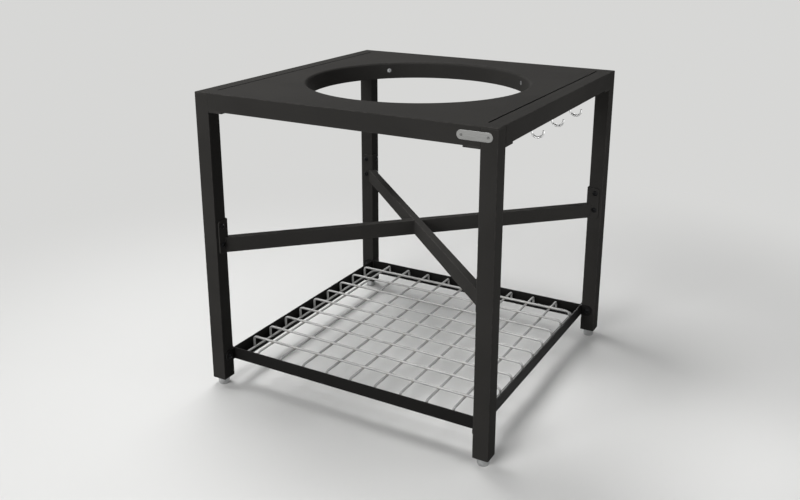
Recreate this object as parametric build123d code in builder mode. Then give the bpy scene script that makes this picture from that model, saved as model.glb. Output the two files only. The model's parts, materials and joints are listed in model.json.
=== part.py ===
from build123d import *
import os
from math import asin, cos, degrees, radians, sin, sqrt

# Grill frame module: a square steel stand with a round opening in its top for a ceramic grill.
# Millimetres, +Z up, +X to the right, front at -Y. The origin is on the floor below the opening's centre.

os.makedirs("parts", exist_ok=True)

# Overall sizes
frame_width = 760.0
frame_height = 733.0
foot_height = 20.0

# Posts
post_size = 38.0
post_wall = 2.0
post_corner = 2.0

# Top sheet, aprons and side rails
sheet = 3.0
apron_depth = 42.0
edge_round = 2.0
seam_width = 2.0
seam_depth = 2.0
rail_wall = 2.0

# Round opening: drawn lip and collar
opening_radius = 273.0
lip_radius = 6.0
lip_straight = 4.0
collar_depth = 42.0
collar_screw_drop = 20.0

# Corner gussets and collar stays
gusset_leg = 38.0
gusset_corner = 12.0
gusset_thickness = 4.0
gusset_setback = 1.0
stay_thickness = 4.0
stay_tab_width = 28.0
stay_clear_of_sheet = 5.0
stay_end_radius = 462.0

# Brace bars and their brackets, heights from the post bottoms
brace_bottom = 335.0
brace_depth = 38.0
brace_width = 19.0
brace_wall = 1.5
bracket_height = 84.0
bracket_thickness = 4.0
bracket_flange = 30.0
bracket_corner = 8.0
bracket_bend = 5.0
bracket_bolt_heights = (23.0, 70.0)

# Low shelf, heights from the post bottoms
shelf_bottom = 45.0
shelf_depth = 30.0
shelf_ledge = 25.0
shelf_wall = 3.0
ear_thickness = 4.0
ear_reach = 31.0
ear_bolt_setback = 17.0
ear_end_flat = 1.0

# Wire grid insert
wire_diameter = 6.0
wire_pitch = 68.0
wires_each_way = 9
wire_reach = 330.0
wire_bend = 9.0
wire_weld = 0.5
grid_level = 78.0
grid_rest_gap = 0.3
border_corner = 20.0

# Bolts and threaded inserts
bolt_radius = 4.0
bolt_head_radius = 7.0
bolt_head_height = 4.4
bolt_head_edge = 1.0
bolt_grip = 13.0
bolt_play = 0.2
insert_radius = 5.5
insert_bulge = 7.0
insert_bulge_length = 5.0
insert_length = 10.0

# Countersunk screws and nuts of the collar
screw_radius = 3.0
screw_head_radius = 5.6
screw_head_depth = 2.6
screw_recess = 0.1
screw_length = 14.0
nut_flats = 10.0
nut_height = 5.0

# Levelling feet
pad_radius = 14.0
pad_base_radius = 12.0
pad_taper = 5.0
pad_gap = 0.3
stud_radius = 5.0
stud_length = 46.0
stud_play = 0.05
stud_socket = 8.0
plug_height = 14.0
pad_edge = 1.0
stud_chamfer = 1.0

# Wire hooks
hook_diameter = 5.0
hook_stem_x = 349.0
hook_bend = 14.0
hook_bottom = 657.0
hook_tip = 3.0
hook_tip_round = 2.2
hook_thread = 9.0
hook_pitch = 126.0
hook_nut_flats = 8.0
hook_nut_height = 4.0
hook_insert_radius = 3.6
hook_insert_bulge = 4.6
hook_insert_length = 9.0

# Badge plate
badge_length = 78.0
badge_height = 20.0
badge_thickness = 1.2
badge_x = 330.0
badge_drop = 20.5
badge_edge = 0.5
rivet_spacing = 58.0
rivet_radius = 2.6
rivet_head = 0.8
rivet_shank_radius = 1.6
rivet_length = 6.0

# How closely an edge's length must match when edges are chosen by it
length_match = 0.01

# Worked out from the above
half = frame_width / 2
inner = half - post_size
post_axis = half - post_size / 2
post_bottom = foot_height
top = foot_height + frame_height
sheet_under = top - sheet
apron_bottom = top - apron_depth
collar_outer = opening_radius + sheet
wire_radius = wire_diameter / 2

CORNERS = {
    "front_left": (-1, -1),
    "front_right": (1, -1),
    "rear_left": (-1, 1),
    "rear_right": (1, 1),
}


def keep(builder, name):
    """Label a finished piece and write it out."""
    builder.part.label = name
    export_step(builder.part, f"parts/{name}.step")


def along(start, direction):
    """Place something modelled along +Z at a point, pointing along a direction."""
    return Plane(origin=start, z_dir=direction).location


def plan_distance(edge):
    """How far an edge's middle lies from the vertical axis."""
    return sqrt(edge.center().X ** 2 + edge.center().Y ** 2)


def on_outside(edge):
    """Whether an edge's middle lies on the outer square of the frame."""
    return max(abs(edge.center().X), abs(edge.center().Y)) > half - post_corner


# Top sheet with front and rear aprons, notches with a seam groove for the side rails, and a drawn lip
# round the opening
badge_z = top - badge_drop
rivet_apron = (badge_x - rivet_spacing / 2, -half, badge_z)
rivet_post = (badge_x + rivet_spacing / 2, -half, badge_z)

with BuildPart() as top_plate:
    with BuildSketch(Plane.XY.offset(sheet_under)):
        RectangleRounded(frame_width, frame_width, post_corner)
        with Locations((-post_axis, 0), (post_axis, 0)):
            Rectangle(post_size, 2 * inner, mode=Mode.SUBTRACT)
        Circle(opening_radius + lip_radius, mode=Mode.SUBTRACT)
    extrude(amount=sheet)
    with BuildSketch(Plane.XY.offset(apron_bottom)):
        with Locations((0, sheet / 2 - half), (0, half - sheet / 2)):
            Rectangle(2 * inner, sheet)
    extrude(amount=sheet_under - apron_bottom)
    rim = top_plate.edges().filter_by(Plane.XY).group_by(Axis.Z)[-1]
    fillet(rim.filter_by(on_outside), edge_round)
    with BuildSketch(Plane.XZ.offset(-inner)):
        with Locations((-inner, top), (inner, top)):
            Rectangle(2 * seam_width, 2 * seam_depth)
    extrude(amount=2 * inner, mode=Mode.SUBTRACT)
    with BuildSketch(Plane.XZ):
        with BuildLine():
            lip_centre_r = opening_radius + lip_radius
            lip_centre_z = top - lip_radius
            lip_end = lip_centre_z - lip_straight
            inside = CenterArc((lip_centre_r, lip_centre_z), lip_radius, 90, 90)
            outside = CenterArc((lip_centre_r, lip_centre_z), lip_radius - sheet, 90, 90)
            Polyline(inside @ 1, (opening_radius, lip_end), (collar_outer, lip_end), outside @ 1)
            Line(inside @ 0, outside @ 0)
        make_face()
    revolve(axis=Axis.Z)
    with Locations(along(rivet_apron, (0, 1, 0))):
        Cylinder(rivet_shank_radius, 4 * sheet, mode=Mode.SUBTRACT)
keep(top_plate, "top_plate")

# Collar: rolled band under the lip, with a countersunk hole at each diagonal
collar_top = top - lip_radius - lip_straight
collar_bottom = top - collar_depth
screw_z = top - collar_screw_drop
DIAGONALS = (45, 135, 225, 315)


def diagonal_places(radius):
    """One place on each diagonal, at the screws' height, pointing outwards."""
    places = []
    for angle in DIAGONALS:
        outward = Vector(cos(radians(angle)), sin(radians(angle)), 0)
        places.append(along(radius * outward + Vector(0, 0, screw_z), outward))
    return places


with BuildPart() as opening_collar:
    with BuildSketch(Plane.XY.offset(collar_bottom)):
        Circle(collar_outer)
        Circle(opening_radius, mode=Mode.SUBTRACT)
    extrude(amount=collar_top - collar_bottom)
    with Locations(*diagonal_places(opening_radius - sheet)):
        sink = sheet + screw_recess + screw_head_depth
        sink_slope = (screw_head_radius - screw_radius) / screw_head_depth
        Cylinder(
            screw_radius,
            3 * sheet,
            align=(Align.CENTER, Align.CENTER, Align.MIN),
            mode=Mode.SUBTRACT,
        )
        Cone(
            screw_radius + sink * sink_slope,
            screw_radius,
            sink,
            align=(Align.CENTER, Align.CENTER, Align.MIN),
            mode=Mode.SUBTRACT,
        )
keep(opening_collar, "opening_collar")

# Side rails: square tubes between the posts, level with the sheet
hook_places = [(hook_stem_x, y) for y in (-hook_pitch, 0, hook_pitch)]

for side, sx in (("left", -1), ("right", 1)):
    with BuildPart() as side_rail:
        with BuildSketch(Plane.XZ.offset(-inner)):
            with Locations((sx * post_axis, top - apron_depth / 2)):
                RectangleRounded(post_size, apron_depth, edge_round)
                Rectangle(post_size - 2 * rail_wall, apron_depth - 2 * rail_wall, mode=Mode.SUBTRACT)
        extrude(amount=2 * inner)
        if side == "right":
            with Locations(*[(x, y, apron_bottom) for x, y in hook_places]):
                Cylinder(hook_insert_radius, 4 * rail_wall, mode=Mode.SUBTRACT)
    keep(side_rail, f"side_rail_{side}")

# Bolt places on the two inner faces of a post: point on the face and the way into the post
brace_bolt_z = [post_bottom + brace_bottom + h for h in bracket_bolt_heights]
shelf_bolt_z = [post_bottom + shelf_bottom + shelf_depth / 2]


def face_places(sx, sy, setback, heights):
    """Points on both inner faces of one post, with the direction into the post."""
    reach = inner + setback
    places = []
    for z in heights:
        places.append(((sx * inner, sy * reach, z), (sx, 0, 0)))
        places.append(((sx * reach, sy * inner, z), (0, sy, 0)))
    return places


brace_setback = post_size / 2
POST_HOLES = {
    name: face_places(sx, sy, brace_setback, brace_bolt_z)
    + face_places(sx, sy, ear_bolt_setback, shelf_bolt_z)
    for name, (sx, sy) in CORNERS.items()
}

# Posts: square tubes from the foot plugs up to the sheet, with holes for the threaded inserts
for name, (sx, sy) in CORNERS.items():
    with BuildPart() as post:
        with BuildSketch(Plane.XY.offset(post_bottom)):
            with Locations((sx * post_axis, sy * post_axis)):
                RectangleRounded(post_size, post_size, post_corner)
                Rectangle(post_size - 2 * post_wall, post_size - 2 * post_wall, mode=Mode.SUBTRACT)
        extrude(amount=sheet_under - post_bottom)
        with Locations(*[along(p, d) for p, d in POST_HOLES[name]]):
            Cylinder(insert_radius, 4 * post_wall, mode=Mode.SUBTRACT)
        if name == "front_right":
            with Locations(along(rivet_post, (0, 1, 0))):
                Cylinder(rivet_shank_radius, 4 * post_wall, mode=Mode.SUBTRACT)
    keep(post, f"post_{name}")

# Corner gussets: flat plates round the inside of each post, welded under apron and side rail
for name, (sx, sy) in CORNERS.items():
    with BuildPart() as gusset:
        with BuildSketch(Plane.XY.offset(apron_bottom - gusset_thickness)):
            with BuildLine():
                edge = half - gusset_setback
                reach = inner - gusset_leg
                cut = reach + gusset_corner
                Polyline(
                    (sx * inner, sy * inner),
                    (sx * inner, sy * edge),
                    (sx * reach, sy * edge),
                    (sx * reach, sy * cut),
                    (sx * cut, sy * reach),
                    (sx * edge, sy * reach),
                    (sx * edge, sy * inner),
                    close=True,
                )
            make_face()
        extrude(amount=gusset_thickness)
    keep(gusset, f"corner_gusset_{name}")

# Collar stays: flat bars on edge from the collar to the gussets, bent to a tab behind the collar
stay_top = sheet_under - stay_clear_of_sheet
stay_height = stay_top - apron_bottom
for name, (sx, sy) in CORNERS.items():
    corner_plane = Plane(origin=(0, 0, apron_bottom), x_dir=(sx, sy, 0), z_dir=(0, 0, 1))
    with BuildPart() as stay:
        with BuildSketch(corner_plane):
            with BuildLine():
                tab_in = opening_radius
                tab_out = collar_outer + stay_thickness
                side_out = stay_tab_width / 2
                side_in = side_out - stay_thickness
                Polyline(
                    (tab_in, -side_out),
                    (tab_in, side_out),
                    (stay_end_radius, side_out),
                    (stay_end_radius, side_in),
                    (tab_out, side_in),
                    (tab_out, -side_out),
                    close=True,
                )
            make_face()
            Circle(collar_outer, mode=Mode.SUBTRACT)
        extrude(amount=stay_height)
        with Locations(along((tab_out * sx / sqrt(2), tab_out * sy / sqrt(2), screw_z), (sx, sy, 0))):
            Cylinder(screw_radius, 4 * stay_thickness, mode=Mode.SUBTRACT)
    keep(stay, f"collar_stay_{name}")

# Collar screws: countersunk, flush with the bore
with BuildPart() as collar_screw:
    with BuildSketch(Plane.XZ):
        with BuildLine():
            Polyline(
                (0, 0),
                (screw_head_radius, 0),
                (screw_radius, screw_head_depth),
                (screw_radius, screw_length),
                (0, screw_length),
                close=True,
            )
        make_face()
    revolve(axis=Axis.Z)

with BuildPart() as collar_screws:
    with Locations(*diagonal_places(opening_radius + screw_recess)):
        add(collar_screw.part)
keep(collar_screws, "collar_screws")

with BuildPart() as collar_nuts:
    for place in diagonal_places(collar_outer + stay_thickness):
        with BuildSketch(Plane(place)):
            RegularPolygon(nut_flats / 2, 6, major_radius=False)
            Circle(screw_radius, mode=Mode.SUBTRACT)
        extrude(amount=nut_height)
keep(collar_nuts, "collar_nuts")

# Post plugs, levelling pads and levelling studs
for name, (sx, sy) in CORNERS.items():
    axis_xy = (sx * post_axis, sy * post_axis)

    with BuildPart() as plug:
        with BuildSketch(Plane.XY.offset(post_bottom)):
            with Locations(axis_xy):
                Rectangle(post_size - 2 * post_wall, post_size - 2 * post_wall)
                Circle(stud_radius + stud_play, mode=Mode.SUBTRACT)
        extrude(amount=plug_height)
    keep(plug, f"post_plug_{name}")

    with BuildPart() as pad:
        with BuildSketch(Plane.XZ.offset(-axis_xy[1])):
            with BuildLine():
                pad_top = foot_height - pad_gap
                socket = stud_radius + stud_play
                Polyline(
                    (axis_xy[0], 0),
                    (axis_xy[0] + pad_base_radius, 0),
                    (axis_xy[0] + pad_radius, pad_taper),
                    (axis_xy[0] + pad_radius, pad_top),
                    (axis_xy[0] + socket, pad_top),
                    (axis_xy[0] + socket, stud_socket),
                    (axis_xy[0], stud_socket),
                    close=True,
                )
            make_face()
        revolve(axis=Axis((axis_xy[0], axis_xy[1], 0), (0, 0, 1)))
        top_circles = pad.edges().filter_by(GeomType.CIRCLE).group_by(Axis.Z)[-1]
        fillet(top_circles.sort_by(SortBy.LENGTH)[-1], pad_edge)
    keep(pad, f"foot_pad_{name}")

    with BuildPart() as stud:
        with BuildSketch(Plane.XY.offset(stud_socket + pad_gap)):
            with Locations(axis_xy):
                Circle(stud_radius)
        extrude(amount=stud_length)
        chamfer(stud.edges().group_by(Axis.Z)[-1], stud_chamfer)
    keep(stud, f"foot_stud_{name}")

# Angle brackets of the brace, wrapped round each post's inner edge
brace_z = post_bottom + brace_bottom
bracket_in = inner - bracket_thickness
bracket_out = inner + bracket_flange
for name, (sx, sy) in CORNERS.items():
    with BuildPart() as bracket:
        with BuildSketch(Plane.XY.offset(brace_z)):
            with BuildLine():
                Polyline(
                    (sx * bracket_in, sy * bracket_in),
                    (sx * bracket_out, sy * bracket_in),
                    (sx * bracket_out, sy * inner),
                    (sx * inner, sy * inner),
                    (sx * inner, sy * bracket_out),
                    (sx * bracket_in, sy * bracket_out),
                    close=True,
                )
            make_face()
        extrude(amount=bracket_height)
        tips = bracket.edges().filter_by(lambda e: abs(e.length - bracket_thickness) < length_match)
        fillet(tips, bracket_corner)
        fillet(bracket.edges().filter_by(Axis.Z).sort_by(plan_distance)[0], bracket_bend)
        with Locations(*[along(p, d) for p, d in face_places(sx, sy, brace_setback, brace_bolt_z)]):
            Cylinder(bolt_radius + bolt_play, 4 * bracket_thickness, mode=Mode.SUBTRACT)
    keep(bracket, f"brace_bracket_{name}")

# Brace bars: one long bar, and two halves butted against its sides. The ends fit the brackets' bends.
brace_middle = brace_z + brace_depth / 2
brace_end = half * sqrt(2)
seat_size = half - bracket_in + bracket_flange
seat_centre = bracket_in + seat_size / 2

with BuildPart() as brace_seats:
    with BuildSketch(Plane.XY.offset(brace_z)):
        with GridLocations(2 * seat_centre, 2 * seat_centre, 2, 2):
            RectangleRounded(seat_size, seat_size, bracket_bend)
    extrude(amount=brace_depth)

with BuildPart() as brace_long:
    with BuildSketch(Plane(origin=(-half, half, brace_middle), x_dir=(1, 1, 0), z_dir=(1, -1, 0))):
        RectangleRounded(brace_width, brace_depth, brace_wall)
        Rectangle(brace_width - 2 * brace_wall, brace_depth - 2 * brace_wall, mode=Mode.SUBTRACT)
    extrude(amount=2 * brace_end)
    add(brace_seats.part, mode=Mode.SUBTRACT)
keep(brace_long, "brace_bar_long")

for side, sign in (("front_left", -1), ("rear_right", 1)):
    outward = (sign, sign, 0)
    butt = sign * brace_width / 2 / sqrt(2)
    with BuildPart() as brace_half:
        with BuildSketch(Plane(origin=(butt, butt, brace_middle), x_dir=(1, -1, 0), z_dir=outward)):
            RectangleRounded(brace_width, brace_depth, brace_wall)
            Rectangle(brace_width - 2 * brace_wall, brace_depth - 2 * brace_wall, mode=Mode.SUBTRACT)
        extrude(amount=brace_end)
        add(brace_seats.part, mode=Mode.SUBTRACT)
    keep(brace_half, f"brace_bar_{side}")

# Button head bolt and threaded insert, modelled along +Z from the face that they sit on
with BuildPart() as bolt:
    with BuildSketch(Plane.XZ):
        with BuildLine():
            crown_height = bolt_head_height - bolt_head_edge
            crown_radius = (bolt_head_radius**2 + crown_height**2) / (2 * crown_height)
            crown_sweep = degrees(asin(bolt_head_radius / crown_radius))
            crown = CenterArc((0, crown_radius - bolt_head_height), crown_radius, -90, crown_sweep)
            Polyline(
                crown @ 0,
                (0, bolt_grip),
                (bolt_radius, bolt_grip),
                (bolt_radius, 0),
                (bolt_head_radius, 0),
                crown @ 1,
            )
        make_face()
    revolve(axis=Axis.Z)

with BuildPart() as insert:
    with BuildSketch(Plane.XZ):
        with BuildLine():
            bulge_end = post_wall + insert_bulge_length
            Polyline(
                (bolt_radius, 0),
                (insert_radius, 0),
                (insert_radius, post_wall),
                (insert_bulge, post_wall),
                (insert_radius, bulge_end),
                (insert_radius, insert_length),
                (bolt_radius, insert_length),
                close=True,
            )
        make_face()
    revolve(axis=Axis.Z)


def proud(places, thickness):
    """The same places, moved out of the post by a plate's thickness."""
    moved = []
    for (x, y, z), (dx, dy, dz) in places:
        moved.append(((x - dx * thickness, y - dy * thickness, z), (dx, dy, dz)))
    return moved


brace_places = []
shelf_places = []
for sx, sy in CORNERS.values():
    brace_places += face_places(sx, sy, brace_setback, brace_bolt_z)
    shelf_places += face_places(sx, sy, ear_bolt_setback, shelf_bolt_z)

BOLT_GROUPS = {
    "brace": (brace_places, bracket_thickness),
    "shelf": (shelf_places, ear_thickness),
}
for group, (places, plate) in BOLT_GROUPS.items():
    with BuildPart() as bolts:
        with Locations(*[along(p, d) for p, d in proud(places, plate)]):
            add(bolt.part)
    keep(bolts, f"{group}_bolts")

    with BuildPart() as inserts:
        with Locations(*[along(p, d) for p, d in places]):
            add(insert.part)
    keep(inserts, f"{group}_inserts")

# Shelf rails: angle section, mitred on the ledge and butted against the corner ears
shelf_z = post_bottom + shelf_bottom
ear_in = inner - ear_thickness
RAILS = {"front": (0, -1), "rear": (0, 1), "left": (-1, 0), "right": (1, 0)}
for name, (rx, ry) in RAILS.items():
    run = Plane(origin=(rx * inner, ry * inner, shelf_z), x_dir=(-rx, -ry, 0), z_dir=(-ry, rx, 0))
    with BuildPart() as shelf_rail:
        with BuildSketch(run.offset(-ear_in)):
            with BuildLine():
                Polyline(
                    (0, 0),
                    (shelf_ledge, 0),
                    (shelf_ledge, shelf_wall),
                    (shelf_wall, shelf_wall),
                    (shelf_wall, shelf_depth),
                    (0, shelf_depth),
                    close=True,
                )
            make_face()
        extrude(amount=2 * ear_in)
        with BuildSketch(Plane.XY.offset(shelf_z)):
            with BuildLine():
                Polyline(
                    (0, 0),
                    ((rx - ry) * half, (ry + rx) * half),
                    ((rx + ry) * half, (ry - rx) * half),
                    close=True,
                )
            make_face()
        extrude(amount=shelf_depth, mode=Mode.INTERSECT)
    keep(shelf_rail, f"shelf_rail_{name}")

# Shelf ears: angle plates with round ends on both inner faces of each post
ear_out = inner + ear_reach
for name, (sx, sy) in CORNERS.items():
    with BuildPart() as ear:
        with BuildSketch(Plane.XY.offset(shelf_z)):
            with BuildLine():
                Polyline(
                    (sx * ear_in, sy * ear_in),
                    (sx * ear_out, sy * ear_in),
                    (sx * ear_out, sy * inner),
                    (sx * inner, sy * inner),
                    (sx * inner, sy * ear_out),
                    (sx * ear_in, sy * ear_out),
                    close=True,
                )
            make_face()
        extrude(amount=shelf_depth)
        ends = ear.edges().filter_by(lambda e: abs(e.length - ear_thickness) < length_match)
        fillet(ends, (shelf_depth - ear_end_flat) / 2)
        with Locations(*[along(p, d) for p, d in face_places(sx, sy, ear_bolt_setback, shelf_bolt_z)]):
            Cylinder(bolt_radius + bolt_play, 4 * ear_thickness, mode=Mode.SUBTRACT)
    keep(ear, f"shelf_ear_{name}")

# Wire grid insert: both sets of wires are bent down at their ends and stand on the shelf ledge
leg_end = shelf_z + shelf_wall + grid_rest_gap
wire_offsets = [(i - (wires_each_way - 1) / 2) * wire_pitch for i in range(wires_each_way)]
level_across = post_bottom + grid_level
level_along = level_across - wire_diameter + wire_weld


def bent_wire(plane, level):
    """One wire with both ends bent down, in a vertical plane through the insert's middle."""
    with BuildPart() as wire:
        with BuildLine(plane):
            path = FilletPolyline(
                (-wire_reach, leg_end),
                (-wire_reach, level),
                (wire_reach, level),
                (wire_reach, leg_end),
                radius=wire_bend,
            )
        with BuildSketch(Plane(origin=path @ 0, z_dir=path % 0)):
            Circle(wire_radius)
        sweep(path=path)
    return wire.part


wire_across = bent_wire(Plane.XZ, level_across)
wire_along = bent_wire(Plane.YZ, level_along)

with BuildPart() as grid_across:
    with Locations(*[(0, y, 0) for y in wire_offsets]):
        add(wire_across)
keep(grid_across, "grid_wires_across")

with BuildPart() as grid_along:
    with Locations(*[(x, 0, 0) for x in wire_offsets]):
        add(wire_along)
keep(grid_along, "grid_wires_along")

border_reach = wire_reach - wire_diameter + wire_weld
border_z = leg_end + wire_radius
with BuildPart() as grid_border:
    with BuildLine(Plane.XY.offset(border_z)):
        straight = border_reach - border_corner
        Line((-straight, -border_reach), (straight, -border_reach))
        RadiusArc((straight, -border_reach), (border_reach, -straight), -border_corner)
        Line((border_reach, -straight), (border_reach, straight))
        RadiusArc((border_reach, straight), (straight, border_reach), -border_corner)
        Line((straight, border_reach), (-straight, border_reach))
        RadiusArc((-straight, border_reach), (-border_reach, straight), -border_corner)
        Line((-border_reach, straight), (-border_reach, -straight))
        RadiusArc((-border_reach, -straight), (-straight, -border_reach), -border_corner)
    with BuildSketch(Plane(origin=(-straight, -border_reach, border_z), z_dir=(1, 0, 0))):
        Circle(wire_radius)
    sweep()
keep(grid_border, "grid_border")

# Wire hooks under the right rail, each screwed into a threaded insert and locked by a nut
hook_low = post_bottom + hook_bottom + hook_diameter / 2
bend_z = hook_low + hook_bend
for label, y in (("front", -hook_pitch), ("middle", 0), ("rear", hook_pitch)):
    with BuildPart() as hook:
        with BuildLine(Plane.XZ.offset(-y)):
            stem = Line((hook_stem_x, apron_bottom + hook_thread), (hook_stem_x, bend_z))
            bow = RadiusArc(stem @ 1, (hook_stem_x + 2 * hook_bend, bend_z), -hook_bend)
            Line(bow @ 1, (hook_stem_x + 2 * hook_bend, bend_z + hook_tip))
        with BuildSketch(Plane(origin=(hook_stem_x, y, apron_bottom + hook_thread), z_dir=(0, 0, -1))):
            Circle(hook_diameter / 2)
        sweep()
        tip_edge = hook.edges().filter_by(GeomType.CIRCLE).sort_by(Axis.X)[-1]
        fillet(tip_edge, hook_tip_round)
    keep(hook, f"tool_hook_{label}")

with BuildPart() as hook_nuts:
    with BuildSketch(Plane.XY.offset(apron_bottom)):
        with Locations(*hook_places):
            RegularPolygon(hook_nut_flats / 2, 6, major_radius=False)
            Circle(hook_diameter / 2, mode=Mode.SUBTRACT)
    extrude(amount=-hook_nut_height)
keep(hook_nuts, "hook_lock_nuts")

with BuildPart() as hook_insert:
    with BuildSketch(Plane.XZ):
        with BuildLine():
            Polyline(
                (hook_diameter / 2, 0),
                (hook_insert_radius, 0),
                (hook_insert_radius, rail_wall),
                (hook_insert_bulge, rail_wall),
                (hook_insert_radius, hook_insert_length / 2),
                (hook_insert_radius, hook_insert_length),
                (hook_diameter / 2, hook_insert_length),
                close=True,
            )
        make_face()
    revolve(axis=Axis.Z)

with BuildPart() as hook_inserts:
    with Locations(*[(x, y, apron_bottom) for x, y in hook_places]):
        add(hook_insert.part)
keep(hook_inserts, "hook_inserts")

# Badge plate on the front apron, and its two rivets
front_plane = Plane(origin=(badge_x, -half, badge_z), x_dir=(1, 0, 0), z_dir=(0, -1, 0))
with BuildPart() as badge:
    with BuildSketch(front_plane):
        SlotOverall(badge_length, badge_height)
        with GridLocations(rivet_spacing, 1, 2, 1):
            Circle(rivet_shank_radius, mode=Mode.SUBTRACT)
    extrude(amount=badge_thickness)
    fillet(badge.faces().sort_by(Axis.Y)[0].outer_wire().edges(), badge_edge)
keep(badge, "badge_plate")

with BuildPart() as rivets:
    with BuildSketch(front_plane.offset(badge_thickness)):
        with GridLocations(rivet_spacing, 1, 2, 1):
            Circle(rivet_radius)
    extrude(amount=rivet_head)
    fillet(rivets.edges().group_by(Axis.Y)[0], rivet_head / 2)
    with BuildSketch(front_plane.offset(badge_thickness)):
        with GridLocations(rivet_spacing, 1, 2, 1):
            Circle(rivet_shank_radius)
    extrude(amount=-rivet_length)
keep(rivets, "badge_rivets")
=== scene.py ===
import json
import math

import bmesh
import bpy
from bpy.props import FloatProperty, FloatVectorProperty, IntProperty, PointerProperty
from mathutils import Matrix, Vector


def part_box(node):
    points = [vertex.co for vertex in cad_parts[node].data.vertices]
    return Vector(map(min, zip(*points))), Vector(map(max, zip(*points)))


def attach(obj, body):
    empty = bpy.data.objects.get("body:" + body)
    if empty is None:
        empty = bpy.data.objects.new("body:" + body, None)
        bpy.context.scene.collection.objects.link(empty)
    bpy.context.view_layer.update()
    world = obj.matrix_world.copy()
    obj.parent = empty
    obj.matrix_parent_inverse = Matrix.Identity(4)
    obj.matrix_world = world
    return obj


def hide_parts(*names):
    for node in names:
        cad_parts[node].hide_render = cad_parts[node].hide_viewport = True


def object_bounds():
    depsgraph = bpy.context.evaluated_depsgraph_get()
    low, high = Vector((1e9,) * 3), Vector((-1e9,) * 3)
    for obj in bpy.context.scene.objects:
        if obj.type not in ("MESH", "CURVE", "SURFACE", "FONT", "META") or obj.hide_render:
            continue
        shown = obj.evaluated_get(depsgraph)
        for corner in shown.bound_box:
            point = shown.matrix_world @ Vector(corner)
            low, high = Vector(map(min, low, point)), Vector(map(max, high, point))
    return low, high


bl_info = {
    "name": "Grill frame module",
    "version": (1, 0, 0),
    "blender": (4, 5, 0),
    "location": "3D View > Sidebar > Grill frame",
    "description": "Finishes, hardware and a studio for a steel stand that carries a round grill",
    "category": "Object",
}

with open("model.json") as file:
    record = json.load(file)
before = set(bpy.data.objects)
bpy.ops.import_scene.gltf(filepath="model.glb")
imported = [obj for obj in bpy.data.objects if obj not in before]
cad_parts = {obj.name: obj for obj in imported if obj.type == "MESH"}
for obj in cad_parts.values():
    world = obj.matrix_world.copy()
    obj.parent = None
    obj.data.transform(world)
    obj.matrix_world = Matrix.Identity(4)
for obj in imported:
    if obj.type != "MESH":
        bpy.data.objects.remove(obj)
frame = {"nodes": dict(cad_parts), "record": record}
cad_low, cad_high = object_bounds()
NODES = frame["nodes"]
MM = 0.001

CORNERS = {
    "front_left": (-1, -1),
    "front_right": (1, -1),
    "rear_left": (-1, 1),
    "rear_right": (1, 1),
}

# Places read from the frame, on the front right corner where all four are alike
post_low, post_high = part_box("post_front_right")
post_inner = post_low.x
post_axis = (post_low.x + post_high.x) / 2
bracket_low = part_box("brace_bracket_front_right")[0]
ear_low, ear_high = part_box("shelf_ear_front_right")
collar_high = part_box("opening_collar")[1]
across_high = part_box("grid_wires_across")[1]
along_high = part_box("grid_wires_along")[1]
border_low, border_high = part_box("grid_border")
stud_low, stud_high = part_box("foot_stud_front_right")
brace_low, brace_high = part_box("brace_bar_long")
wire_radius = (border_high.z - border_low.z) / 2

# How rough the plated parts are, from the brightest to the dullest
POLISHED = 0.22
BRIGHT = 0.24
SATIN = 0.3
DULL = 0.34
WELDED = 0.5

# Rim of a socket as a share of its key, and a screw's socket as a share of its head's height
SOCKET_MOUTH = 0.62
SCREW_SOCKET = 0.75

# How far a weld spot spreads, in wire radii
WELD_SPREAD = (1.15, 1.15, 0.45)

# The soft lights: where each stands and how wide it is, in metres
LAMPS = {
    "key": ((-0.6, -3.4, 1.5), 2.0),
    "side": ((1.0, -0.1, 0.6), 0.9),
    "top": ((-1.0, 0.2, 3.0), 1.6),
    "left": ((-3.4, 0.2, 1.4), 1.6),
    "rear": ((-0.6, 3.0, 0.5), 0.9),
}
SKY_TINT = (0.94, 0.96, 1.0)

# Size of the floor, and the distances between which it goes over into the backdrop
FLOOR_RADIUS = 30
BACKDROP_START = 0.6
BACKDROP_END = 1.9


def colour_property(name, description, default):
    return FloatVectorProperty(
        name=name, description=description, subtype="COLOR", default=default, min=0, max=1
    )


def share_property(name, description, default):
    return FloatProperty(
        name=name, description=description, subtype="FACTOR", default=default, min=0, max=1
    )


def length_property(name, description, default):
    return FloatProperty(name=name, description=description, unit="LENGTH", default=default, min=0)


def power_property(name, description, default):
    return FloatProperty(name=name, description=description, unit="POWER", default=default)


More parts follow.
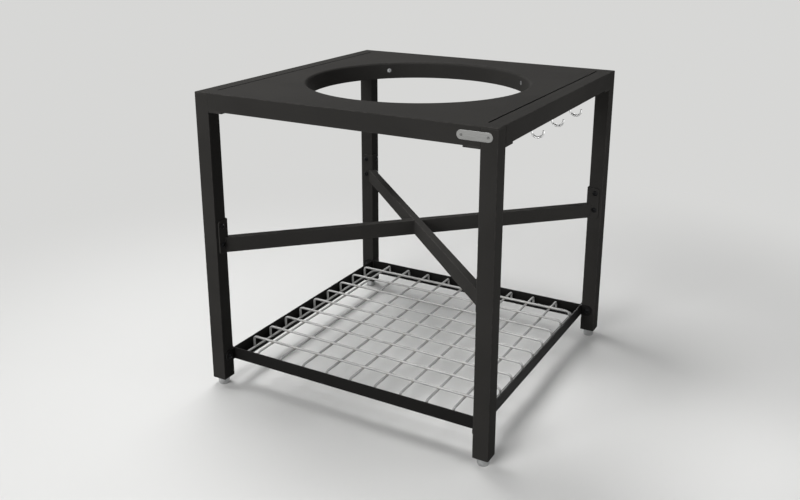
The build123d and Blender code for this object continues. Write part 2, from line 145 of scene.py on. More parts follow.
class FrameFinishes(bpy.types.PropertyGroup):
    """Colours and surface values of the finishes"""

    coat_colour: colour_property(
        "Powder coat", "Colour of the baked black coat", (0.030, 0.0288, 0.0272)
    )
    coat_roughness: share_property("Coat roughness", "Mean roughness of the coat", 0.8)
    coat_gloss: share_property("Coat gloss", "How strongly the coat mirrors", 0.03)
    # Painted shade: a darker copy of the coat for the low shelf, standing in for the shade that
    # falls on it
    shelf_shade_colour: colour_property(
        "Shelf coat", "Colour of the shelf's darker, smoother coat", (0.0095, 0.0092, 0.0088)
    )
    shelf_roughness: share_property("Shelf roughness", "Mean roughness of the shelf's coat", 0.5)
    shelf_gloss: share_property("Shelf gloss", "How strongly the shelf's coat mirrors", 0.06)
    # Painted highlight as well as polish: how much lighter the coat is drawn along edges and in its
    # glint flecks
    coat_polish_and_highlight: FloatProperty(
        name="Edge polish",
        description="How much lighter a coat is where handling has polished it",
        default=1.67,
        min=1,
    )
    # Width of the band of painted edge highlight and polish
    coat_lit_edge_width: length_property(
        "Polish width", "How far the polish reaches from an edge", 2.6 * MM
    )
    # Painted shadow: near-black colour laid in the top's seams and on the rails' round shoulders
    # beside them, where shade falls
    seam_shadow_colour: colour_property(
        "Seam", "Colour at the bottom of the top's seams", (0.003, 0.003, 0.003)
    )
    seam_width: length_property("Seam width", "Width of the groove in the top sheet", 2 * MM)
    wire_colour: colour_property("Wire", "Colour of the stainless wire", (0.41, 0.41, 0.405))
    weld_colour: colour_property(
        "Weld tint", "Straw colour that a weld leaves on the wire", (0.36, 0.34, 0.30)
    )
    zinc_colour: colour_property("Zinc", "Colour of feet, nuts and screws", (0.52, 0.525, 0.53))
    hook_colour: colour_property("Hook", "Colour of the bright hooks", (0.66, 0.66, 0.66))
    badge_colour: colour_property("Badge", "Colour of the bare plate", (0.20, 0.20, 0.195))
    bolt_colour: colour_property("Bolt", "Colour of the blackened bolts", (0.004, 0.004, 0.0045))


class FrameHardware(bpy.types.PropertyGroup):
    """Sizes of the fasteners and welds"""

    bolt_heights: FloatVectorProperty(
        name="Bracket bolts",
        description="Heights of a bracket's two bolts above its lower edge",
        size=2,
        unit="LENGTH",
        default=(23 * MM, 70 * MM),
    )
    ear_setback: length_property(
        "Ear bolt", "Distance of a shelf bolt from the post's inner edge", 17 * MM
    )
    bolt_radius: length_property("Bolt shank", "Radius of a bolt", 4 * MM)
    bolt_grip: length_property("Bolt grip", "Length of a bolt under its head", 13 * MM)
    head_radius: length_property("Bolt head", "Radius of a button head", 7 * MM)
    head_height: length_property("Head height", "Height of a button head", 4.4 * MM)
    head_edge: length_property("Head edge", "Straight edge of a button head", 1 * MM)
    bolt_key: length_property("Bolt key", "Hexagon socket of a bolt, across flats", 5 * MM)
    bolt_key_depth: length_property("Bolt key depth", "Depth of a bolt's socket", 2.6 * MM)
    collar_wall: length_property("Collar wall", "Thickness of the collar", 3 * MM)
    screw_drop: length_property("Screw drop", "Collar screws below the top", 20 * MM)
    screw_radius: length_property("Screw shank", "Radius of a collar screw", 3 * MM)
    screw_head: length_property("Screw head", "Radius of a countersunk head", 5.6 * MM)
    screw_head_depth: length_property("Screw head depth", "Height of a countersunk head", 2.6 * MM)
    screw_length: length_property("Screw length", "Whole length of a collar screw", 14 * MM)
    screw_recess: length_property("Screw recess", "Screw heads below the collar's wall", 0.1 * MM)
    screw_key: length_property("Screw key", "Hexagon socket of a screw, across flats", 4 * MM)
    small_chamfer: length_property("Small chamfer", "Broken edges of the fasteners", 0.15 * MM)
    tip_chamfer: length_property("Tip chamfer", "Chamfer at the end of a shank", 0.8 * MM)
    thread_pitch: length_property("Thread pitch", "Rise of a foot's thread in a turn", 1.5 * MM)
    thread_depth: length_property("Thread depth", "Height of a foot's thread", 0.85 * MM)
    grid_pitch: length_property("Grid pitch", "Distance between two wires", 68 * MM)
    grid_count: IntProperty(name="Grid wires", description="Wires each way", default=9, min=1)
    brace_width: length_property("Brace width", "Width of a brace bar", 19 * MM)
    bead_radius: length_property("Weld bead", "Radius of a weld bead", 1.9 * MM)
    bead_step: length_property("Weld ripple", "Distance between two ripples", 2.2 * MM)
    bead_inset: length_property("Weld inset", "Distance of a bead from a seam's ends", 3 * MM)


class FrameStage(bpy.types.PropertyGroup):
    """Camera, floor and lights"""

    azimuth: FloatProperty(
        name="Azimuth",
        description="Direction of the camera, from the front towards the right",
        subtype="ANGLE",
        default=math.radians(29.45),
    )
    elevation: FloatProperty(
        name="Elevation",
        description="How far the camera looks down",
        subtype="ANGLE",
        default=math.radians(16.9),
    )
    distance: length_property("Distance", "From the camera to its target", 2.301)
    target: FloatVectorProperty(
        name="Target",
        description="Point that the camera looks at",
        subtype="XYZ",
        unit="LENGTH",
        default=(-0.0504, 0.0, 0.474),
    )
    lens: FloatProperty(name="Lens", description="Focal length in millimetres", default=40.24)
    shift: FloatProperty(name="Shift", description="Vertical shift of the lens", default=-0.08)
    floor_colour: colour_property("Floor", "Colour of the plain floor", (0.68, 0.68, 0.67))
    floor_bounce: share_property(
        "Bounce", "Share of the floor's light that reaches the object", 0.35
    )
    ambient: FloatProperty(name="Ambient", description="Light from all sides", default=0.05)
    key_power: power_property("Key light", "Soft light at the front", 106)
    side_power: power_property("Side light", "Soft light close to the right side", 3.6)
    top_power: power_property("Top light", "Soft light above the left side", 70)
    left_power: power_property("Left light", "Soft light at the left", 24)
    rear_power: power_property("Rear light", "Low soft light behind", 18)


class Wire:
    """One output socket. Arithmetic on it adds Math nodes to its tree."""

    def __init__(self, nodes, socket):
        self.nodes = nodes
        self.socket = socket

    def other(self, name):
        """Another output of the same node."""
        return Wire(self.nodes, self.socket.node.outputs[name])

    def math(self, operation, *values):
        return self.nodes.node("ShaderNodeMath", {"operation": operation}, dict(enumerate(values)))

    def __add__(self, other):
        return self.math("ADD", self, other)

    def __radd__(self, other):
        return self.math("ADD", other, self)

    def __sub__(self, other):
        return self.math("SUBTRACT", self, other)

    def __rsub__(self, other):
        return self.math("SUBTRACT", other, self)

    def __mul__(self, other):
        return self.math("MULTIPLY", self, other)

    def __rmul__(self, other):
        return self.math("MULTIPLY", other, self)

    def __pow__(self, other):
        return self.math("POWER", self, other)

    def __rpow__(self, other):
        return self.math("POWER", other, self)

    def __mod__(self, other):
        return self.math("FLOORED_MODULO", self, other)

    def __rmod__(self, other):
        return self.math("FLOORED_MODULO", other, self)

    def __abs__(self):
        return self.math("ABSOLUTE", self)

    def least(self, other):
        return self.math("MINIMUM", self, other)

    def most(self, other):
        return self.math("MAXIMUM", self, other)

    def root(self):
        return self.math("SQRT", self)

    def sine(self):
        return self.math("SINE", self)


class Nodes:
    """A node tree and the one method that adds nodes to it."""

    def __init__(self, tree):
        self.tree = tree

    def node(self, kind, settings=None, sockets=None, output=0):
        """Add a node: its settings first, then the values or links of its sockets."""
        made = self.tree.nodes.new(kind)
        for name, value in (settings or {}).items():
            setattr(made, name, value)
        for key, value in (sockets or {}).items():
            self.feed(made.inputs[key], value)
        return Wire(self, made.outputs[output])

    def feed(self, socket, value):
        if isinstance(value, Wire):
            self.tree.links.new(value.socket, socket)
        elif socket.type == "RGBA":
            socket.default_value = (*value, 1)
        else:
            socket.default_value = value

    def place(self, turn=0.0, stretch=(1, 1, 1)):
        """Object coordinates, turned about Z, then stretched."""
        spot = self.node("ShaderNodeTexCoord", output="Object")
        if turn:
            spot = self.node("ShaderNodeMapping", None, {"Vector": spot, "Rotation": (0, 0, turn)})
        if stretch != (1, 1, 1):
            spot = self.node("ShaderNodeMapping", None, {"Vector": spot, "Scale": stretch})
        return spot

    def axes(self, turn=0.0):
        """The three object coordinates as numbers."""
        x = self.node("ShaderNodeSeparateXYZ", None, {"Vector": self.place(turn)}, "X")
        return x, x.other("Y"), x.other("Z")

    def noise(self, scale, detail=2.0, roughness=0.5, turn=0.0, stretch=(1, 1, 1)):
        sockets = {
            "Vector": self.place(turn, stretch),
            "Scale": scale,
            "Detail": detail,
            "Roughness": roughness,
        }
        return self.node("ShaderNodeTexNoise", None, sockets, "Fac")

    def step(self, value, low, high):
        """A smooth step from 0 at low to 1 at high."""
        settings = {"interpolation_type": "SMOOTHSTEP"}
        sockets = {"Value": value, "From Min": low, "From Max": high}
        return self.node("ShaderNodeMapRange", settings, sockets)

    def blend(self, share, first, second):
        """One colour going over into another."""
        return self.node("ShaderNodeMix", {"data_type": "RGBA"}, {0: share, 6: first, 7: second}, 2)

    def bump(self, height, strength, distance):
        sockets = {"Height": height, "Strength": strength, "Distance": distance}
        return self.node("ShaderNodeBump", None, sockets, "Normal")


class Finish(Nodes):
    """A material and its shader."""

    def __init__(self, name):
        self.material = bpy.data.materials.new(name)
        self.material.use_nodes = True
        super().__init__(self.material.node_tree)
        self.shader = self.tree.nodes["Principled BSDF"]

    def surface(self, sockets):
        """Set or link the shader's sockets."""
        for name, value in sockets.items():
            self.feed(self.shader.inputs[name], value)
        return self.material


def shade(colour, share):
    """A colour made darker or lighter."""
    return tuple(c * share for c in colour)


def edge_band(finish, low, high, width, turn):
    """1 along the edges of a box, fading within a width: there two of three faces are near."""
    gaps = [
        (b - a) / 2 - abs(axis - (a + b) / 2)
        for axis, a, b in zip(finish.axes(turn), low, high)
    ]
    x, y, z = gaps
    second_nearest = x.least(y).most(x.most(y).least(z))
    return 1 - finish.step(second_nearest, 0.0, width)


def seam_shadow_mask(finish, width):
    """Mask for painted shadow: 1 in the grooves between top sheet and side rails, and on the rails'
    round shoulders.
    """
    skin = 0.002 * width
    mouth = 0.015 * width
    groove_fade = 1.15 * width
    shoulder = 0.7 * width
    shoulder_fade = 0.8 * width
    bottom = 1.2 * width
    bottom_fade = 1.5 * width
    end_fade = 0.1 * width
    x, y, z = finish.axes()
    off_seam = abs(x) - post_inner
    drop = cad_high.z - z
    below_top = finish.step(drop, skin, mouth)
    in_groove = (1 - finish.step(abs(off_seam), width, groove_fade)) * below_top
    on_shoulder = 1 - finish.step(abs(off_seam - shoulder), shoulder, shoulder_fade)
    near_top = 1 - finish.step(drop, bottom, bottom_fade)
    between_posts = finish.step(post_inner - abs(y), 0.0, end_fade)
    return in_groove.most(on_shoulder) * near_top * between_posts


def powder_coat(look, name, low, high, turn=0.0, shaded_seams=False):
    """Baked black coat: a fine grain, a slow drift of tone, edges lighter with painted highlight
    and polish, flecks of painted glint.
    """
    # The shelf gets the darker copy of the coat: painted shade on the low shelf
    if name.startswith("shelf"):
        base, roughness, gloss = look.shelf_shade_colour, look.shelf_roughness, look.shelf_gloss
    else:
        base, roughness, gloss = look.coat_colour, look.coat_roughness, look.coat_gloss
    thin = shade(base, 0.86)
    polished_and_lit = shade(base, look.coat_polish_and_highlight)
    glint_share = 0.5
    polish_and_highlight_share = 0.8
    drift_roughness = 0.1
    grain_roughness = 0.12
    polish_smoothness = 0.1
    finish = Finish(f"powder_coat_{name}")
    grain = finish.noise(scale=1100, detail=2, roughness=0.6)
    peel = finish.noise(scale=320, detail=1)
    drift = finish.noise(scale=7, detail=3)
    blotch = finish.noise(scale=55, detail=4, roughness=0.62)
    # Lighter edges: painted edge highlight as well as polish, broken up by blotches
    edges = edge_band(finish, low, high, look.coat_lit_edge_width, turn)
    worn_and_lit = edges * finish.step(blotch, low=0.35, high=0.68)
    coat = finish.blend(finish.step(drift, low=0.32, high=0.68), thin, base)
    # Painted glints: light specks drawn where the coat's grain would catch the light
    painted_glints = finish.step(grain, low=0.56, high=0.72) * glint_share
    glinted = finish.blend(painted_glints, coat, polished_and_lit)
    colour = finish.blend(worn_and_lit * polish_and_highlight_share, glinted, polished_and_lit)
    # Painted shadow: the seams and the rails' shoulders beside them are drawn near-black, where
    # shade falls
    if shaded_seams:
        colour = finish.blend(seam_shadow_mask(finish, look.seam_width), colour, look.seam_shadow_colour)
    unevenness = (drift - 0.5) * drift_roughness + (grain - 0.5) * grain_roughness
    relief = grain * 0.5 + peel * 0.5
    return finish.surface(
        {
            "Base Color": colour,
            "Roughness": roughness + unevenness - worn_and_lit * polish_smoothness,
            "Specular IOR Level": gloss,
            "Normal": finish.bump(relief, strength=0.5, distance=0.25 * MM),
        }
    )


def drawing_lines(finish, run):
    """Fine lines along a wire's run: X or Y, or both for the border, which lies in a square."""
    if run == "border":
        x, y = finish.axes()[:2]
        on_sides = finish.step(abs(x) - abs(y), 0.0, 2 * wire_radius)
        return drawing_lines(finish, "X") * (1 - on_sides) + drawing_lines(finish, "Y") * on_sides
    line_stretch = 0.03
    stretch = tuple(line_stretch if axis == run else 1.0 for axis in "XYZ")
    return finish.noise(scale=900, detail=3, stretch=stretch)


def drawn_wire(look, name, run, pitch=None):
    """Drawn stainless wire: streaks along its run, and a straw tint at its welds."""
    dull = shade(look.wire_colour, 0.86)
    scored = shade(look.wire_colour, 0.62)
    score_share = 0.5
    heat_share = 0.2
    smoothest = 0.43
    streak_roughness = 0.4
    haze_roughness = 0.08
    finish = Finish(name)
    streaks = drawing_lines(finish, run)
    haze = finish.noise(scale=35, detail=3)
    steel = finish.blend(finish.step(haze, low=0.3, high=0.7), dull, look.wire_colour)
    scores = finish.step(streaks, low=0.42, high=0.66) * score_share
    drawn = finish.blend(scores, steel, scored)
    if pitch:
        along = finish.axes()["XYZ".index(run)]
        off_weld = abs((along + pitch / 2) % pitch - pitch / 2)
        near_weld = 1 - finish.step(off_weld, low=2.5 * MM, high=7.5 * MM)
        heat = near_weld * finish.step(haze, low=0.25, high=0.6)
        drawn = finish.blend(heat * heat_share, drawn, look.weld_colour)
    return finish.surface(
        {
            "Base Color": drawn,
            "Metallic": 1.0,
            "Roughness": smoothest + streaks * streak_roughness + haze * haze_roughness,
            "Normal": finish.bump(streaks, strength=0.3, distance=0.06 * MM),
        }
    )


def turned_zinc(look, name):
    """Zinc plate over lathe rings about the feet's axes, duller near the floor."""
    face_rings = 2 * math.pi / (0.9 * MM)
    side_rings = 2 * math.pi / (1.1 * MM)
    dull = shade(look.zinc_colour, 0.78)
    soiled = shade(look.zinc_colour, 0.45)
    soil_share = 0.5
    smoothest = 0.27
    cloud_roughness = 0.16
    soil_roughness = 0.2
    finish = Finish(name)
    x, y, z = finish.axes()
    radius = ((abs(x) - post_axis) ** 2 + (abs(y) - post_axis) ** 2).root()
    rings = (radius * face_rings).sine() + (z * side_rings).sine()
    cloud = finish.noise(scale=60, detail=4)
    near_floor = 1 - finish.step(z, low=0.5 * MM, high=5 * MM)
    soil = near_floor * finish.step(cloud, low=0.4, high=0.7)
    zinc = finish.blend(finish.step(cloud, low=0.3, high=0.72), dull, look.zinc_colour)
    return finish.surface(
        {
            "Base Color": finish.blend(soil * soil_share, zinc, soiled),
            "Metallic": 1.0,
            "Roughness": smoothest + cloud * cloud_roughness + soil * soil_roughness,
            "Normal": finish.bump(rings, strength=0.1, distance=0.03 * MM),
        }
    )


def bright_plate(name, colour, roughness, wear=1.0):
    """Bright plate with a faint cloud and fine scratches, as strong as its wear."""
    dull = shade(colour, 0.72)
    dull_share = 0.7 * wear
    cloud_roughness = 0.1
    scratch_roughness = 0.12 * wear
    scratch_slant = 0.6
    finish = Finish(name)
    cloud = finish.noise(scale=90, detail=4)
    scratch = finish.noise(scale=700, detail=2, turn=scratch_slant, stretch=(1, 0.08, 1))
    dulled = finish.step(cloud, low=0.35, high=0.7) * dull_share
    scratched = finish.step(scratch, low=0.62, high=0.75) * scratch_roughness
    return finish.surface(
        {
            "Base Color": finish.blend(dulled, colour, dull),
            "Metallic": 1.0,
            "Roughness": roughness + cloud * cloud_roughness + scratched,
            "Normal": finish.bump(scratch, strength=0.06 * wear, distance=0.03 * MM),
        }
    )


def brushed_plate(name, colour):
    """Brushed plate with fine lines along its length."""
    dark = shade(colour, 0.7)
    dull_share = 0.3
    smoothest = 0.3
    line_roughness = 0.16
    finish = Finish(name)
    lines = finish.noise(scale=2600, detail=2, stretch=(0.015, 1, 1))
    cloud = finish.noise(scale=40, detail=3)
    brushed = finish.blend(finish.step(lines, low=0.35, high=0.7), colour, dark)
    dulled = finish.step(cloud, low=0.4, high=0.75) * dull_share
    return finish.surface(
        {
            "Base Color": finish.blend(dulled, brushed, dark),
            "Metallic": 1.0,
            "Roughness": smoothest + lines * line_roughness,
            "Normal": finish.bump(lines, strength=0.18, distance=0.04 * MM),
        }
    )


def blackened_steel(look, name):
    """Blackened bolt steel, glossier than the coat, rubbed here and there by a key."""
    bare = shade(look.bolt_colour, 3.0)
    rub_share = 0.5
    smoothest = 0.3
    cloud_roughness = 0.16
    finish = Finish(name)
    cloud = finish.noise(scale=260, detail=3)
    rubs = finish.noise(scale=900, detail=3)
    rubbed = finish.step(rubs, low=0.58, high=0.78) * rub_share
    return finish.surface(
        {
            "Base Color": finish.blend(rubbed, look.bolt_colour, bare),
            "Roughness": smoothest + cloud * cloud_roughness,
            "Specular IOR Level": 0.1,
            "Normal": finish.bump(cloud, strength=0.08, distance=0.05 * MM),
        }
    )


def dress(material, *names):
    """Give CAD nodes a finish."""
    for name in names:
        for slot in NODES[name].material_slots:
            slot.material = material


def alike(prefix):
    """Nodes whose names start alike."""
    return sorted(name for name in NODES if name.startswith(prefix))


def piece_of(name, bm, material, body, crease=35):
    """Close a bmesh up as a piece that rides on a body. Edges stay crisp past the crease angle."""
    bmesh.ops.remove_doubles(bm, verts=bm.verts, dist=0.002 * MM)
    bmesh.ops.recalc_face_normals(bm, faces=bm.faces)
    for face in bm.faces:
        face.smooth = True
    mesh = bpy.data.meshes.new(name)
    bm.to_mesh(mesh)
    bm.free()
    mesh.set_sharp_from_angle(angle=math.radians(crease))
    mesh.materials.append(material)
    piece = bpy.data.objects.new(name, mesh)
    bpy.context.scene.collection.objects.link(piece)
    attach(piece, body)
    return piece


def ring(bm, radius, height, sides=24, key=0.0):
    """The edges of a loop about Z: a circle, or a hexagon with the given key size."""
    verts = bmesh.ops.create_circle(bm, segments=sides, radius=radius or key)["verts"]
    bmesh.ops.translate(bm, verts=verts, vec=(0, 0, height))
    if key:
        for vert in verts:
            turn = math.atan2(vert.co.y, vert.co.x)
            flat = (turn + math.pi / 6) % (math.pi / 3) - math.pi / 6
            reach = key / 2 / math.cos(flat)
            vert.co.x = reach * math.cos(turn)
            vert.co.y = reach * math.sin(turn)
    return list({edge for vert in verts for edge in vert.link_edges})


def bridged(bm, loops):
    """A closed skin over loops of edges, one after another."""
    for lower, upper in zip(loops, loops[1:]):
        bmesh.ops.bridge_loops(bm, edges=lower + upper)
    bmesh.ops.contextual_create(bm, geom=loops[0])
    bmesh.ops.contextual_create(bm, geom=loops[-1])


def stacked(rings):
    """A closed body of rings, given as radius, height and key size."""
    bm = bmesh.new()
    bridged(bm, [ring(bm, radius, height, key=key) for radius, height, key in rings])
    return bm


def copies(source, places):
    """Copies of a body that lies along +Z, at places given as a point and a direction."""
    pattern = bpy.data.meshes.new("pattern")
    source.to_mesh(pattern)
    source.free()
    bm = bmesh.new()
    for point, direction in places:
        done = len(bm.verts)
        bm.from_mesh(pattern)
        bm.verts.ensure_lookup_table()
        turn = Vector(direction).to_track_quat("Z", "Y").to_matrix().to_4x4()
        bmesh.ops.transform(bm, matrix=Matrix.Translation(point) @ turn, verts=bm.verts[done:])
    bpy.data.meshes.remove(pattern)
    return bm


def bolt_places(setback, heights, plate):
    """Places on the plates at both inner faces of each post, pointing into the post."""
    near = post_inner - plate
    reach = post_inner + setback
    places = []
    for sx, sy in CORNERS.values():
        for z in heights:
            places.append(((sx * near, sy * reach, z), (sx, 0, 0)))
            places.append(((sx * reach, sy * near, z), (0, sy, 0)))
    return places


def button_bolt(size):
    """Button head bolt with a hexagon socket. The head stands out towards -Z."""
    crown = size.head_height - size.head_edge
    dome = (size.head_radius**2 + crown**2) / (2 * crown)
    mouth = size.bolt_key * SOCKET_MOUTH

    def crown_at(radius):
        return dome - size.head_height - math.sqrt(dome**2 - radius**2)

    rings = [
        (0, size.bolt_key_depth - size.head_height, size.bolt_key),
        (0, crown_at(mouth) + 2 * size.small_chamfer, size.bolt_key),
    ]
    steps = 6
    for i in range(steps + 1):
        radius = mouth + (size.head_radius - mouth) * i / steps
        rings.append((radius, crown_at(radius), 0))
    rings += [
        (size.head_radius, -size.small_chamfer, 0),
        (size.head_radius - size.small_chamfer, 0, 0),
        (size.bolt_radius, 0, 0),
        (size.bolt_radius, size.bolt_grip - size.tip_chamfer, 0),
        (size.bolt_radius - size.tip_chamfer, size.bolt_grip, 0),
    ]
    return stacked(rings)


def sunk_screw(size):
    """Countersunk screw with a hexagon socket. Its flat head lies at Z 0."""
    return stacked(
        [
            (0, size.screw_head_depth * SCREW_SOCKET, size.screw_key),
            (0, size.small_chamfer, size.screw_key),
            (size.screw_key * SOCKET_MOUTH, 0, 0),
            (size.screw_head - size.small_chamfer, 0, 0),
            (size.screw_head - size.small_chamfer / 2, size.small_chamfer, 0),
            (size.screw_radius, size.screw_head_depth, 0),
            (size.screw_radius, size.screw_length - size.tip_chamfer, 0),
            (size.screw_radius - size.tip_chamfer, size.screw_length, 0),
        ]
    )


def threaded_rod(size, radius, low, high):
    """A rod with a right-hand thread: a tooth wound by a climbing spin, then cut to length."""
    pitch = size.thread_pitch
    root = radius - size.thread_depth
    turns = math.ceil((high - low) / pitch) + 2
    steps = 28
    land = pitch / 8
    tooth = [
        (root, 0),
        (root, land),
        (radius, (pitch - land) / 2),
        (radius, (pitch + land) / 2),
        (root, pitch - land),
        (root, pitch),
    ]
    bm = bmesh.new()
    verts = [bm.verts.new((r, 0, low - pitch + z)) for r, z in tooth]
    edges = [bm.edges.new(pair) for pair in zip(verts, verts[1:])]
    bmesh.ops.spin(
        bm,
        geom=verts + edges,
        cent=(0, 0, 0),
        axis=(0, 0, 1),
        dvec=(0, 0, pitch / steps),
        angle=2 * math.pi * turns,
        steps=steps * turns,
    )
    bmesh.ops.remove_doubles(bm, verts=bm.verts, dist=0.01 * MM)
    for height, outward in ((low, -1), (high, 1)):
        cut = bmesh.ops.bisect_plane(
            bm,
            geom=bm.verts[:] + bm.edges[:] + bm.faces[:],
            plane_co=(0, 0, height),
            plane_no=(0, 0, outward),
            clear_outer=True,
        )
        rim = [e for e in cut["geom_cut"] if isinstance(e, bmesh.types.BMEdge)]
        bmesh.ops.contextual_create(bm, geom=rim)
    return bm


def bead(bm, size, foot, height):
    """An upright weld bead: rings up a seam, fuller at each ripple and narrow at both ends."""
    ripple = 1.0
    joint = 0.8
    tip = 0.4
    steps = 2 * max(2, round(height / size.bead_step))
    loops = []
    for i in range(steps + 1):
        girth = ripple if i % 2 else joint
        if i in (0, steps):
            girth = tip
        loop = ring(bm, size.bead_radius * girth, height * i / steps, sides=10)
        verts = list({vert for edge in loop for vert in edge.verts})
        bmesh.ops.translate(bm, verts=verts, vec=foot)
        loops.append(loop)
    bridged(bm, loops)


class FRAME_OT_coated_steel(bpy.types.Operator):
    """Coat the posts, top, rails, braces and shelf frame in black"""

    bl_idname = "grillframe.coated_steel"
    bl_label = "Coated steel"

    def execute(self, context):
        look = context.scene.frame_finishes
        for part in frame["record"]["subparts"]:
            if part["material_slot"] != "powder_coat":
                continue
            node = part["node"]
            turn = math.pi / 4 if node.startswith(("brace_bar", "collar_stay")) else 0.0
            low, high = self.turned_box(node, turn)
            # The top sheet and the side rails get painted shadow in their seams
            shaded_seams = node.startswith(("top_plate", "side_rail"))
            dress(powder_coat(look, node, low, high, turn, shaded_seams), node)
        return {"FINISHED"}

    def turned_box(self, node, turn):
        """Box of a node in coordinates turned about Z."""
        spin = Matrix.Rotation(turn, 3, "Z")
        places = [spin @ vert.co for vert in NODES[node].data.vertices]
        low = [min(place[i] for place in places) for i in range(3)]
        high = [max(place[i] for place in places) for i in range(3)]
        return low, high


class FRAME_OT_weld_beads(bpy.types.Operator):
    """Run weld beads up the seams of the brace bars and of the shelf frame"""

    bl_idname = "grillframe.weld_beads"
    bl_label = "Weld beads"

    def execute(self, context):
        size = context.scene.frame_hardware
        bm = bmesh.new()
        bar_foot = brace_low.z + size.bead_inset
        bar_run = brace_high.z - size.bead_inset - bar_foot
        for x, y in self.brace_seams(size.brace_width):
            bead(bm, size, (x, y, bar_foot), bar_run)
        ear_foot = ear_low.z + size.bead_inset
        for sx, sy in CORNERS.values():
            bead(bm, size, (sx * ear_low.x, sy * ear_low.x, ear_foot), ear_high.z - ear_foot)
        coat = powder_coat(context.scene.frame_finishes, "weld_beads", cad_low, cad_high)
        piece_of("weld_beads", bm, coat, "frame", crease=60)
        return {"FINISHED"}

    def brace_seams(self, width):
        """Where the half bars meet the long bar, and where each bar meets its bracket."""
        cross = width / math.sqrt(2)
        near = bracket_low.x
        far = near + cross
        seams = [(cross, 0), (-cross, 0), (0, cross), (0, -cross)]
        for sx, sy in CORNERS.values():
            seams.append((sx * near, sy * far))
            seams.append((sx * far, sy * near))
        return seams


class FRAME_OT_bolts(bpy.types.Operator):
    """Bolt the brackets and the shelf ears to the posts with socket button heads"""

    bl_idname = "grillframe.bolts"
    bl_label = "Bolts"

    def execute(self, context):
        look = context.scene.frame_finishes
        size = context.scene.frame_hardware
        black = blackened_steel(look, "blackened_steel")
        bracket_plate = post_inner - bracket_low.x
        ear_plate = post_inner - ear_low.x
        bracket_heights = [bracket_low.z + height for height in size.bolt_heights]
        ear_heights = [(ear_low.z + ear_high.z) / 2]
        post_middle = post_axis - post_inner
        sets = {
            "brace_bolts": bolt_places(post_middle, bracket_heights, bracket_plate),
            "shelf_bolts": bolt_places(size.ear_setback, ear_heights, ear_plate),
        }
        for node, places in sets.items():
            bolts = copies(button_bolt(size), places)
            piece = piece_of(f"{node}_socketed", bolts, black, "frame")
            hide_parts(node)
        zinc = bright_plate("insert_zinc", look.zinc_colour, SATIN)
        dress(zinc, "brace_inserts", "shelf_inserts")
        return {"FINISHED"}


class FRAME_OT_collar_screws(bpy.types.Operator):
    """Screw the collar to its stays with countersunk heads"""

    bl_idname = "grillframe.collar_screws"
    bl_label = "Collar screws"

    def execute(self, context):
        look = context.scene.frame_finishes
        size = context.scene.frame_hardware
        # Painted shade: the screws' zinc is drawn at half its brightness, darkening them as if in
        # shade
        shaded_zinc = shade(look.zinc_colour, 0.5)
        zinc = bright_plate("screw_zinc", shaded_zinc, DULL)
        radius = collar_high.x - size.collar_wall + size.screw_recess
        height = Vector((0, 0, cad_high.z - size.screw_drop))
        places = []
        for sx, sy in CORNERS.values():
            outward = Vector((sx, sy, 0)).normalized()
            places.append((outward * radius + height, outward))
        screws = copies(sunk_screw(size), places)
        piece = piece_of("collar_screws_socketed", screws, zinc, "frame")
        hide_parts("collar_screws")
        dress(zinc, "collar_nuts")
        return {"FINISHED"}


class FRAME_OT_feet(bpy.types.Operator):
    """Turn the levelling pads and wind the threads of their studs"""

    bl_idname = "grillframe.feet"
    bl_label = "Feet"

    def execute(self, context):
        look = context.scene.frame_finishes
        size = context.scene.frame_hardware
        dress(turned_zinc(look, "turned_zinc"), *alike("foot_pad"))
        zinc = bright_plate("stud_zinc", look.zinc_colour, BRIGHT)
        radius = (stud_high.x - stud_low.x) / 2
        rod = threaded_rod(size, radius, stud_low.z, stud_high.z)
        for corner, (sx, sy) in CORNERS.items():
            bm = rod.copy()
            bmesh.ops.translate(bm, verts=bm.verts, vec=(sx * post_axis, sy * post_axis, 0))
            piece = piece_of(f"foot_thread_{corner}", bm, zinc, f"stud_{corner}")
            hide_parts(f"foot_stud_{corner}")
        rod.free()
        return {"FINISHED"}


class FRAME_OT_wire_grid(bpy.types.Operator):
    """Finish the wire grid and weld its wires where they cross and where they meet the border"""

    bl_idname = "grillframe.wire_grid"
    bl_label = "Wire grid"

    def execute(self, context):
        look = context.scene.frame_finishes
        size = context.scene.frame_hardware
        dress(drawn_wire(look, "wire_across", "X", size.grid_pitch), "grid_wires_across")
        dress(drawn_wire(look, "wire_along", "Y", size.grid_pitch), "grid_wires_along")
        dress(drawn_wire(look, "wire_border", "border"), "grid_border")
        spot = bmesh.new()
        bmesh.ops.create_uvsphere(spot, u_segments=8, v_segments=5, radius=wire_radius)
        bmesh.ops.scale(spot, vec=WELD_SPREAD, verts=spot.verts)
        welds = copies(spot, self.weld_places(size))
        flash = bright_plate("weld_flash", look.weld_colour, WELDED)
        piece_of("grid_weld_spots", welds, flash, "grid", crease=60)
        return {"FINISHED"}

    def weld_places(self, size):
        """Where wires cross, and where their bent ends meet the border."""
        middle = (size.grid_count - 1) / 2
        stations = [(i - middle) * size.grid_pitch for i in range(size.grid_count)]
        crossing = (across_high.z + along_high.z) / 2 - wire_radius
        places = [((x, y, crossing), (0, 0, 1)) for x in stations for y in stations]
        reach = (across_high.x + border_high.x) / 2 - wire_radius
        border = border_low.z + wire_radius
        for s in stations:
            for side in (-reach, reach):
                places.append(((side, s, border), (1, 0, 0)))
                places.append(((s, side, border), (0, 1, 0)))
        return places


class FRAME_OT_hooks(bpy.types.Operator):
    """Plate the tool hooks and their nuts"""

    bl_idname = "grillframe.hooks"
    bl_label = "Hooks"

    def execute(self, context):
        look = context.scene.frame_finishes
        plating = bright_plate("hook_plating", look.hook_colour, POLISHED, wear=0.4)
        dress(plating, *alike("tool_hook"))
        zinc = bright_plate("nut_zinc", look.zinc_colour, BRIGHT)
        dress(zinc, "hook_lock_nuts", "hook_inserts")
        return {"FINISHED"}


